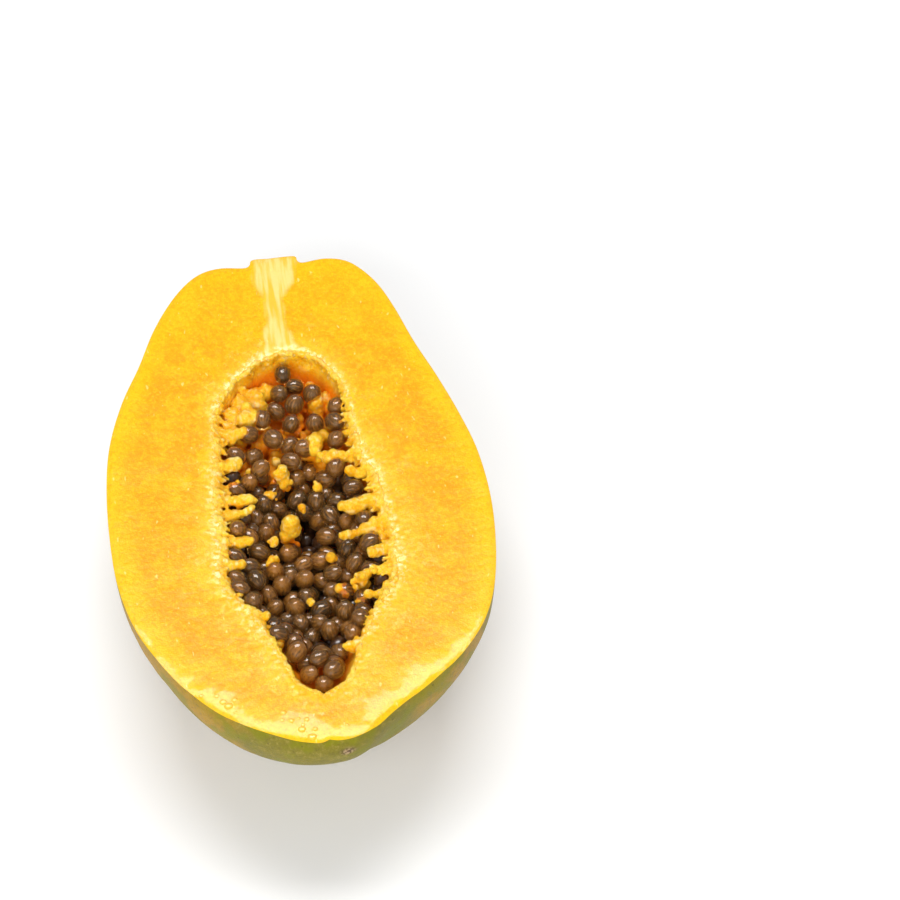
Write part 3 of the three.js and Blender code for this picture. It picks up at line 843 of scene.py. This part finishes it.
def roughen_skin(moved, points, hole):
    """Shallow dents in the skin, none at the cut and on the spot that the fruit rests on."""
    on_skin = (points[:, 2] < -1e-6) & (hole > NEAR_ENOUGH)
    skin = points[on_skin]
    dents = sum(wave(skin, *row) for row in SKIN_DENTS)
    outward = skin * (1, 0.35, 1)
    outward /= np.linalg.norm(outward, axis=1)[:, None]
    fade = np.clip(-skin[:, 2] / 6, 0, 1) * np.clip((skin[:, 2] + FACE_HEIGHT) / 4, 0, 1)
    moved[on_skin] += outward * (dents * fade)[:, None]
    moved[on_skin, 2] -= edge_drop(skin, 0 * skin[:, 0]) * np.exp(skin[:, 2] / 6)
    return on_skin


def roughen(points, values):
    """Moves points a little: torn pulp at the cavity, a faintly uneven cut, uneven skin."""
    hole, rim = values["hole"], values["rim"]
    torn = np.where(hole <= 0, 1.0, np.exp(-np.maximum(hole, 0) / 2.0))
    torn[hole > NEAR_ENOUGH] = 0
    moved = points + torn_shift(points) * torn[:, None]
    on_face = roughen_face(moved, points, hole, rim)
    on_skin = roughen_skin(moved, points, hole)
    moved[:, 2] = np.maximum(moved[:, 2], -FACE_HEIGHT)
    in_wall = ~on_skin & ~on_face
    lowered = moved[in_wall, 2] - EDGE_SINK * np.exp(points[in_wall, 2] / 4)
    moved[in_wall, 2] = np.minimum(lowered, WALL_TOP)
    return moved


def stub_share(points):
    """How far the skin belongs to the cut stub of the stem."""
    x, y, z = points.T
    return np.clip((y - STUB_START) / STUB_FADE, 0, 1) * (np.hypot(x - STUB_X, z) < STUB_RADIUS)


def scar_share(points):
    """How far the skin belongs to the scar at the blossom end."""
    x, y, z = points.T
    away = np.hypot((x - SCAR_X) / SCAR_LONG, z - SCAR_Z) / SCAR_RADIUS
    return np.clip(1.5 - away, 0, 1) * (y < SCAR_END)


def make_fruit(skin, flesh, pulp):
    """The fruit's whole surface. Gives back the points of its cut face."""
    points, faces, kinds, values = welded(*fruit_surface())
    values["core"] = core_share(points) * (np.abs(points[:, 2]) < 0.01)
    values["stub"] = stub_share(points)
    values["scar"] = scar_share(points)
    values["crest"] = 0.5 + wave(points, *CREST_WAVE)
    moved = roughen(points, values)
    materials = [skin, flesh, pulp]
    obj = make_object("papaya_fruit", moved, faces, materials, kinds, values, SHARP_FROM)
    finish_piece(obj, "papaya_half")
    return moved[np.abs(points[:, 2]) < 1e-6]


def make_juice(face_points, juice):
    """Low round drops on the cut face."""
    shape, shape_faces = ball(DROP_SIDES, DROP_LEVELS)
    points, faces = [], []
    for number, (x, y, radius) in enumerate(JUICE_DROPS):
        near = np.argmin(np.hypot(face_points[:, 0] - x, face_points[:, 1] - y))
        start = number * len(shape)
        wobble = 1 + wave(shape * 1.3 + number * 3.7, *DROP_WAVE)[:, None]
        size = radius * np.array(DROP_SHAPE)
        points.append(shape * wobble * size + (x, y, face_points[near, 2]))
        faces += [[c + start for c in f] for f in shape_faces]
    obj = make_object("juice_drops", np.concatenate(points), faces, [juice])
    finish_piece(obj, "papaya_half")


# Strands and lumps of pulp

def wall_depth(x, y, clear):
    """How deep the cavity is at x, y, keeping clear of its wall. Below 0 there is no cavity."""
    half, middle = span_near(CAVITY, y)
    reach, across = half - clear, x - middle
    if reach <= abs(across):
        return -1.0
    return CAVITY_DEPTH * math.sqrt(reach * reach - across * across)


def strand_points(along, deep, across, forward, rise, radius):
    """Places and radii along a strand, from inside the wall to its free end."""
    half, middle = span_near(CAVITY, along)
    side = 1 if across > 0 else -1
    wall = middle - side * half
    points = []
    for k in range(STRAND_RINGS + 1):
        f = k / STRAND_RINGS
        x = wall - side * STRAND_ROOT + f * (across + side * STRAND_ROOT)
        z = -deep + rise * f - STRAND_SAG * math.sin(math.pi * f)
        knot = 1 + KNOT_SIZE * math.sin(k * KNOT_PACE + along)
        taper = TAPER_ROOT - TAPER_THINNER * f if f < 1 else TAPER_TIP
        points.append((x, along + forward * f, z, radius * taper * knot))
    return points


def lump_points(x, y, deep, radius):
    """Places and radii up the stalk of a lump and through the lump."""
    floor = max(wall_depth(x, y, 0), deep + STALK_LEAST) + STALK_BURIED
    rings = [(x, y, -floor, radius * STALK_FOOT)]
    for up, thick, lean, ahead in LUMP_RINGS:
        rings.append((x + lean, y + ahead, -deep + radius * up, radius * thick))
    return rings


PULP_PATHS = [strand_points(*row) for row in STRANDS] + [lump_points(*row) for row in LUMPS]


def nugget(rng, x, y, z, size, count):
    """Balls huddled round a place, as a torn-off bit of pulp."""
    spread = rng.normal(0, 0.5 * size, (count, 3))
    sizes = size * rng.uniform(0.35, 0.7, count)
    return [(x + dx, y + dy, z + dz, r) for (dx, dy, dz), r in zip(spread, sizes)]


def sunk(spots):
    """The same balls, none of them higher than just below the cut face."""
    return [(x, y, min(z, -UNDER_FACE - r), r) for x, y, z, r in spots]


def fringe_zone(y):
    """The fringe at a place along: share of its length, crumbs a fibre and their inward reach."""
    if y < TIP_END:
        return FRINGE_TIP
    if y > BARE_END:
        return FRINGE_STEM_END
    return FRINGE_FULL if FULL_FROM < y < FULL_TO else FRINGE_HALF


def fringe(rng):
    """Short fibres of torn pulp all along the rim, hanging inwards, with crumbs at their roots."""
    spots = []
    ys, halves, middles = spans_at(CAVITY, even_rows(CAVITY, FRINGE_ROWS))
    for y, half, middle in zip(ys, halves, middles):
        share, crumbs, inner = fringe_zone(y)
        for side in (-1, 1):
            rim = np.array([[middle + side * half, y, 0.0]])
            x, along, _ = (rim + torn_shift(rim))[0]
            heading = np.array([-side, rng.normal(0, 0.4), -rng.uniform(0.15, 0.8)])
            heading /= np.linalg.norm(heading)
            length = rng.uniform(*FIBRE_LENGTH) * share
            thick = rng.uniform(*FIBRE_THICK)
            root = np.array([x + side * 0.6, along, -rng.uniform(*FIBRE_DEPTH)])
            for f in np.linspace(0, 1, FRINGE_STEPS):
                at = root + heading * length * f + rng.normal(0, 0.14, 3)
                spots.append((*at, thick * (1.3 - 0.6 * f) * rng.uniform(0.75, 1.15)))
            for outward in rng.uniform(inner, CRUMB_REACH, crumbs):
                size = rng.uniform(*CRUMB_SIZE)
                sink = EDGE_SINK * math.exp(-max(outward, 0) / EDGE_REACH) - 0.9 * min(outward, 0)
                level = -sink - size * rng.uniform(*CRUMB_SUNK)
                spots.append((x + side * outward, along + rng.normal(0, 0.5), level, size))
    return spots


def scattered_bits(rng):
    """Bits of pulp between the seeds, and the bed under the single seeds at the stem end."""
    spots = []
    for _ in range(BITS_BETWEEN):
        x, y = rng.uniform(*BITS_FIELD["x"]), rng.uniform(*BITS_FIELD["y"])
        floor = max(core_top(x, y), -wall_depth(x, y, 2))
        open_here = y < BED_START and wall_depth(x, y, 2) > 0
        if open_here and BITS_LOWEST < floor < BITS_HIGHEST:
            spots += nugget(rng, x, y, floor + rng.uniform(0, 2.4), rng.uniform(1.0, 2.1), 5)
    for _ in range(BED_BITS):
        y = rng.uniform(BED_START, BED_END)
        half, middle = span_near(CAVITY, y)
        x = middle + half * rng.uniform(-BED_WIDTH, BED_WIDTH)
        z = max(BED_HEIGHT + rng.normal(0, 1.0), -wall_depth(x, y, 0.5))
        spots += nugget(rng, x, y, z, rng.uniform(2.8, 4.0), 5)
    return spots


def torn_pulp(rng):
    """Balls of torn pulp: the fringe, thick roots, heaps at the stem end, lumps and bits."""
    spots = fringe(rng)
    for row in STRANDS:
        for x, y, z, radius in strand_points(*row)[1:3]:
            spots += sunk(nugget(rng, x, y, z, radius * 1.1, 4))
    for x, y, z, radius in PULP_HEAPS:
        spots += [(x, y, z, radius), (x, y, z - HEAP_UNDER * radius, radius)]
        for _ in range(HEAP_CRUMBS):
            way = rng.normal(0, 1, 3) * (1, 1, 0.7)
            dx, dy, dz = way / np.linalg.norm(way) * radius * rng.uniform(0.8, 1.0)
            spots.append((x + dx, y + dy, z + abs(dz), rng.uniform(0.5, 1.2)))
    for x, y, z, size in PULP_BITS:
        bit = nugget(rng, x, y, z - 0.3 * size, 0.7 * size, 5)
        spots += sunk(bit + [(x, y, z - 0.4 * size, 0.7 * size)])
    for x, y, deep, radius in LUMPS:
        for f in np.linspace(0, 1, 4):
            lean = rng.normal(0, 0.5, 2)
            size = radius * (1.15 - 0.25 * f)
            spots += nugget(rng, x + lean[0], y + lean[1], -deep - f * radius * 1.9, size, 4)
    return spots + scattered_bits(rng)


def ball(across, up):
    """Points and faces of a round ball of radius 1 with its poles along y."""
    lift = np.linspace(0, math.pi, up + 1)[1:-1]
    turn = np.arange(across) * 2 * math.pi / across
    u, v = np.meshgrid(lift, turn, indexing="ij")
    ring = np.stack([np.sin(u) * np.cos(v), np.cos(u), np.sin(u) * np.sin(v)], axis=-1)
    points = np.concatenate([[[0, 1, 0]], ring.reshape(-1, 3), [[0, -1, 0]]])
    faces = []
    last = len(points) - 1
    for j in range(across):
        k = (j + 1) % across
        faces.append([0, 1 + k, 1 + j])
        for i in range(up - 2):
            a = 1 + i * across
            faces.append([a + j, a + k, a + across + k, a + across + j])
        a = 1 + (up - 2) * across
        faces.append([last, a + j, a + k])
    return points, faces


def balls_mesh(spots):
    """One mesh of balls that overlap, each given as x, y, z and radius."""
    shape, shape_faces = ball(BALL_SIDES, BALL_LEVELS)
    points, faces = [], []
    for x, y, z, radius in spots:
        start = len(points) * len(shape)
        points.append(shape * radius + (x, y, z))
        faces += [[c + start for c in f] for f in shape_faces]
    return np.concatenate(points), faces


def along_path(path):
    """Balls set close together along a path, to be melted into one knobbly strand."""
    path = np.array(path)
    at = np.arange(0, len(path) - 1 + 1e-6, BALL_STEP)
    at = np.minimum(at, len(path) - 1)
    return row_values(path, at)


def apply_modifiers(obj):
    """Replaces a mesh by what its modifiers make of it."""
    bpy.context.view_layer.update()
    shaped = obj.evaluated_get(bpy.context.evaluated_depsgraph_get())
    mesh = bpy.data.meshes.new_from_object(shaped)
    obj.modifiers.clear()
    obj.data = mesh
    return mesh


def read_vectors(mesh, key):
    """A vector of each point of a mesh: its place or its normal."""
    values = np.zeros(len(mesh.vertices) * 3)
    mesh.vertices.foreach_get(key, values)
    return values.reshape(-1, 3)


def melt(obj):
    """Melts a mesh of balls into one soft surface."""
    remesh = obj.modifiers.new("melt", "REMESH")
    remesh.mode = "VOXEL"
    remesh.voxel_size = VOXEL * MM
    smooth = obj.modifiers.new("smooth", "SMOOTH")
    smooth.iterations = SMOOTHINGS
    return apply_modifiers(obj)


def roughen_pulp(mesh):
    """Gives melted pulp its grain, and the values that its material reads."""
    at = read_vectors(mesh, "co") / MM - (0, -LENGTH_MIDDLE, FACE_HEIGHT)
    lift = 0
    for height, swing, start in PULP_GRAIN:
        lift = lift + height * (2 * np.abs(value_noise(at, swing, start)) - 0.6)
    at += read_vectors(mesh, "normal") * lift[:, None]
    at[:, 2] = np.minimum(at[:, 2], PULP_TOP)
    mesh.vertices.foreach_set("co", in_frame(at).ravel())
    add_value(mesh, "hole", at[:, 2] * 0.6 - 0.4)
    # The crest follows the grain's height, so the material paints its tops lighter and its hollows
    # darker: painted highlight and painted shade.
    add_value(mesh, "crest", 0.47 + 2.0 * lift)
    mesh.update()


def thin_out(obj):
    """Brings the pulp down to its number of triangles."""
    triangles = sum(len(p.vertices) - 2 for p in obj.data.polygons)
    thin = obj.modifiers.new("thin", "DECIMATE")
    thin.ratio = min(1.0, PULP_TRIANGLES / triangles)
    thin.use_collapse_triangulate = True
    return apply_modifiers(obj)


def make_pulp(pulp):
    """Strands, lumps and torn bits: balls along each path, melted together and roughened."""
    spots = []
    rng = np.random.default_rng(PULP_START)
    for path in PULP_PATHS:
        dots = along_path(path)
        dots[:, :3] += rng.normal(0, BALL_STRAY, (len(dots), 3))
        dots[:, 3] *= rng.uniform(*BALL_SIZES, len(dots))
        spots += sunk(dots.tolist())
    spots += torn_pulp(rng)
    points, faces = balls_mesh(spots)
    obj = make_object("papaya_pulp_strands", points, faces, [pulp])
    roughen_pulp(melt(obj))
    mesh = thin_out(obj)
    mesh.materials.clear()
    mesh.materials.append(pulp)
    mesh.shade_smooth()
    finish_piece(obj, "papaya_half")


# Seeds

def random_from(state):
    """Numbers from 0 to 1 in an order that depends only on where it starts."""
    while True:
        state = (state * 1664525 + 1013904223) % 2 ** 32
        yield state / 2 ** 32


def place_in(field, random):
    """A random place, drawn first along the fruit and then across."""
    y = field["y"] + field["length"] * next(random)
    return field["x"] + field["width"] * next(random), y


def core_top(x, y):
    """The bowl-shaped height of the space that the seeds fill from below."""
    hollow = 1 - (x / BOWL_WIDTH) ** 2 - ((y - BOWL_Y) / BOWL_LENGTH) ** 2
    bowl = min(BOWL_RIM, -BOWL_DEPTH * math.sqrt(hollow) if hollow > 0 else 0)
    past = max(y - CORE_END_Y, 0) / CORE_END_REACH
    return min(bowl, -CORE_END_DROP * (1 - math.sqrt(1 - past * past))) if past < 1 else NO_CORE


def settle(x, y, z, taken):
    """The lowest height from z up at which a seed at x, y is clear of all that is there."""
    flat = taken[:, 3] ** 2 - (x - taken[:, 0]) ** 2 - (y - taken[:, 1]) ** 2
    near = taken[flat > 0]
    half = np.sqrt(flat[flat > 0])
    while True:
        hit = np.abs(z - near[:, 2]) < half - 1e-9
        if not hit.any():
            return z
        z = float((near[hit, 2] + half[hit]).max())


def place_seeds():
    """Drops seeds at random places; each lies as low as it can, grown into its neighbours."""
    random = random_from(SEED_START)
    seeds = []
    spots = [p for path in PULP_PATHS for p in path]
    taken = np.array([[x, y, z, r + SEED_LONG] for x, y, z, r in spots])
    for _ in range(SEED_TRIES):
        x, y = place_in(SEED_FIELD, random)
        turn = (next(random), next(random), next(random))
        half, middle = span_near(SEEDED, y)
        wall = -wall_depth(x, y, WALL_CLEAR)
        if abs(x - middle) > half or wall > HEAP_TOP:
            continue
        floor = max(core_top(x, y) + SEED_SUNK, wall)
        top = min(HEAP_TOP, max(floor, core_top(x, y)) + HEAP_THICK)
        z = settle(x, y, floor, taken)
        low = z < core_top(x, y) + 1.5 * SEED_SUNK
        if z > top:
            continue
        if not low and not any(math.dist((x, y, z), s[0]) < SEED_LINK for s in seeds):
            continue
        seeds.append(((x, y, z), turn))
        taken = np.vstack([taken, (x, y, z, SEED_SPACING)])
    return seeds


def place_buried(seeds):
    """Seeds further down, in the space that shows only through the gaps."""
    random = random_from(BURIED_START)
    spots = np.array([s[0] for s in seeds])
    buried = []
    for _ in range(BURIED_TRIES):
        x, y = place_in(BURIED_FIELD, random)
        drop = next(random)
        turn = (next(random), next(random), next(random))
        if wall_depth(x, y, WALL_CLEAR) < 0:
            continue
        top = max(core_top(x, y), BURIED_LOWEST) - BURIED_UNDER
        z = max(top - BURIED_DROP * drop, -wall_depth(x, y, WALL_CLEAR))
        if z > BURIED_TOP or y > BURIED_END:
            continue
        if np.linalg.norm(spots - (x, y, z), axis=1).min() > BURIED_APART:
            buried.append(((x, y, z), turn))
            spots = np.vstack([spots, (x, y, z)])
    return buried


def random_turn(a, b, c):
    """A turn to any side, from three numbers between 0 and 1."""
    s, t = math.sqrt(1 - a), math.sqrt(a)
    u, v = 2 * math.pi * b, 2 * math.pi * c
    return Quaternion((t * math.cos(v), s * math.sin(u), s * math.cos(u), t * math.sin(v)))


def seed_mesh(seeds, size, across, up, ridged):
    """One mesh of all the seeds' kernels, or of their jelly, with a tone for each seed."""
    shape, shape_faces = ball(across, up)
    angle = np.arctan2(shape[:, 2], shape[:, 0])
    waist = np.sqrt(np.maximum(1 - shape[:, 1] ** 2, 0))
    points, faces, tones, ridges = [], [], [], []
    for number, (centre, turn) in enumerate(seeds):
        start = number * len(shape)
        at = shape.copy()
        if ridged:
            wander = 1.6 * np.sin(3 * shape[:, 1] + number)
            ridge = np.sin(KERNEL_RIDGES * angle + wander) * waist
            rough = value_noise(shape * 4 + number * 13.7, 1.0, 3)
            at *= (1 + RIDGE_WAVE * ridge + KERNEL_ROUGH * rough)[:, None]
            # The ridge's height, which the kernel's material paints lighter on top and darker in the
            # grooves, as painted highlight and painted shade.
            ridges.append(0.5 + 0.35 * ridge + 0.3 * rough)
        else:
            rough = value_noise(shape * 1.5 + number * 5.3, 1.0, 7)
            at *= (1 + JELLY_ROUGH * rough)[:, None]
            ridges.append(np.zeros(len(shape)))
        at = at * (SHOWN_ROUND, SHOWN_LONG, SHOWN_ROUND) * size
        at *= SIZE_LEAST + SIZE_SPREAD * (turn[2] * 5.7 % 1)
        matrix = np.array(random_turn(*turn).to_matrix())
        points.append(at @ matrix.T + centre)
        faces += [[c + start for c in f] for f in shape_faces]
        tones.append(np.full(len(shape), (turn[0] * 7.3 + turn[1] * 3.1) % 1))
    floats = {"tone": np.concatenate(tones), "ridge": np.concatenate(ridges)}
    return np.concatenate(points), faces, floats


def add_seeds(name, seeds, material, size, across, up, ridged):
    """One piece of all the seeds' kernels, or of their jelly."""
    points, faces, floats = seed_mesh(seeds, size, across, up, ridged)
    obj = make_object(name, points, faces, [material], floats=floats)
    finish_piece(obj, "seeds")


def make_seeds(kernel, shaded_deep_kernel, jelly):
    """The seeds by rule away from the gaps, those at the stem end one by one, and the buried."""
    top = np.array(TOP_SEEDS)
    seeds = [
        seed for seed in place_seeds()
        if seed[0][1] < TOP_START and np.linalg.norm(top - seed[0], axis=1).min() > TOP_APART
        and all(math.dist(seed[0][:2], gap[:2]) > gap[2] for gap in GAPS)
    ]
    for k, spot in enumerate(TOP_SEEDS):
        seeds.append((tuple(spot), (0.13 * k % 1, 0.37 * k % 1, 0.71 * k % 1)))
    buried = place_buried(seeds)
    add_seeds("seed_kernels", seeds, kernel, KERNEL_SHARE, KERNEL_SIDES, KERNEL_LEVELS, True)
    add_seeds("seed_kernels_deep", buried, shaded_deep_kernel, BURIED_SHARE, DEEP_SIDES, DEEP_LEVELS, True)
    add_seeds("seed_jelly", seeds, jelly, 1.0, JELLY_SIDES, JELLY_LEVELS, False)


# Stage

def make_floor():
    bpy.ops.mesh.primitive_plane_add(size=FLOOR_SIZE)
    floor = bpy.context.object
    floor.name = "floor"
    t = Tree("floor_white")
    t.set(Base_Color=(FLOOR_GREY, FLOOR_GREY, FLOOR_GREY, 1), Roughness=0.6)
    floor.data.materials.append(t.material)


def area_light(name, place, size, watts):
    """A white light that faces the middle of the cut face."""
    light = bpy.data.lights.new(name, "AREA")
    light.shape = "RECTANGLE"
    light.size, light.size_y = size
    light.energy = watts
    obj = bpy.data.objects.new(name, light)
    obj.location = place
    aim = Vector((0, 0, FACE_HEIGHT * MM))
    obj.rotation_euler = (aim - Vector(place)).to_track_quat("-Z", "Y").to_euler()
    bpy.context.scene.collection.objects.link(obj)
    return obj


def make_lights():
    """White light all round, a key light from behind and a broad fill from the front."""
    world = bpy.data.worlds.new("studio")
    world.use_nodes = True
    background = world.node_tree.nodes["Background"]
    background.inputs["Color"].default_value = (1, 1, 1, 1)
    background.inputs["Strength"].default_value = ROOM_LIGHT
    bpy.context.scene.world = world
    area_light("key", KEY_PLACE, KEY_SIZE, KEY_WATTS)
    fill = area_light("fill", FILL_PLACE, FILL_SIZE, FILL_WATTS)
    fill.visible_glossy = False


def make_camera():
    """The camera, level and looking down on the cut face."""
    camera = bpy.data.cameras.new("camera")
    camera.sensor_width = CAMERA_SENSOR
    camera.lens = CAMERA_LENS
    camera.clip_start, camera.clip_end = 0.05, 20
    obj = bpy.data.objects.new("camera", camera)
    x, y, z = CAMERA_FROM_FACE
    obj.location = (x * MM, y * MM, (z + FACE_HEIGHT) * MM)
    flat = math.cos(CAMERA_ELEVATION)
    back = Vector((
        math.sin(CAMERA_AZIMUTH) * flat,
        -math.cos(CAMERA_AZIMUTH) * flat,
        math.sin(CAMERA_ELEVATION),
    ))
    obj.rotation_euler = back.to_track_quat("Z", "Y").to_euler()
    bpy.context.scene.collection.objects.link(obj)
    bpy.context.scene.camera = obj


make_camera()
make_lights()
make_floor()
bpy.context.scene.view_settings.view_transform = "Standard"
pulp = pulp_material()
face_points = make_fruit(skin_material(), flesh_material(), pulp)
make_pulp(pulp)
kernel = kernel_material("seed_kernel", SEED_DARK, SEED_LIGHT, False)
# The buried kernels take darker colours than the top ones: painted shade deep in the heap.
shaded_deep_kernel = kernel_material("seed_kernel_deep_shaded", DEEP_SHADED_DARK, DEEP_SHADED_LIGHT, True)
make_seeds(kernel, shaded_deep_kernel, jelly_material())
make_juice(face_points, juice_material())
